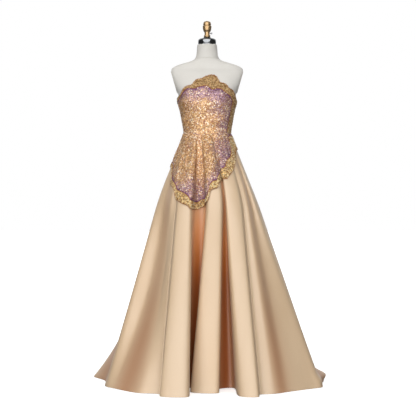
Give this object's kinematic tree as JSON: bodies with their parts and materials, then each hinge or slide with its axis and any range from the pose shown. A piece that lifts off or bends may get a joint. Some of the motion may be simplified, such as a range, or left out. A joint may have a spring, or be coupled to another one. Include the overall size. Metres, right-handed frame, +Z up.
{
  "type": "a-line evening gown on dress form",
  "caption": "Strapless A-line evening gown with sequinned bodice and hip overlay, lace edges and a folded satin skirt with a short train, on a limbless dress form and stand.",
  "frame": {"origin": "on the floor, at the middle of the underside of the stand's hub, on the axis of the pole", "axes": "+Z up along the pole; -Y is the gown's front; +X is the wearer's left"},
  "size_m": [1.1934, 1.1633, 1.8152],
  "materials": {
    "linen": "plain woven linen over a padded form",
    "plate_board": "smooth covered board",
    "chrome": "polished",
    "brass": "satin polished",
    "black_metal": "black enamel",
    "champagne_satin": "heavy duchess satin with a soft sheen",
    "sequin_cloth": "gold and lilac sequins on tulle",
    "gold_lace": "corded and beaded gold lace"
  },
  "bodies": {
    "gown_on_form": {"form_torso": "linen", "form_arm_plate_left": "plate_board", "form_arm_plate_right": "plate_board", "neck_cap": "chrome", "finial_collar": "black_metal", "finial": "brass", "finial_screw": "chrome", "stand_socket": "black_metal", "stand_pole": "chrome", "stand_base": "black_metal", "bodice_front": "sequin_cloth", "bodice_side_left": "sequin_cloth", "bodice_side_right": "sequin_cloth", "bodice_back_left": "sequin_cloth", "bodice_back_right": "sequin_cloth", "overlay_front": "sequin_cloth", "overlay_back_left": "sequin_cloth", "overlay_back_right": "sequin_cloth", "skirt_front": "champagne_satin", "skirt_side_front_left": "champagne_satin", "skirt_side_front_right": "champagne_satin", "skirt_side_back_left": "champagne_satin", "skirt_side_back_right": "champagne_satin", "skirt_back_left": "champagne_satin", "skirt_back_right": "champagne_satin", "lace_neckline": "gold_lace", "lace_side": "gold_lace", "lace_border_front": "gold_lace", "lace_border_back_left": "gold_lace", "lace_border_back_right": "gold_lace", "zip": "champagne_satin", "zip_slider": "brass"},
    "zip_pull": {"zip_pull": "brass"}
  },
  "joints": [
    {"name": "zip_pull_hinge", "type": "hinge", "parent": "gown_on_form", "child": "zip_pull", "pos_m": [0, 0.10404, 1.378], "axis": [1, 0, 0], "range_deg": [0, 150]}
  ]
}
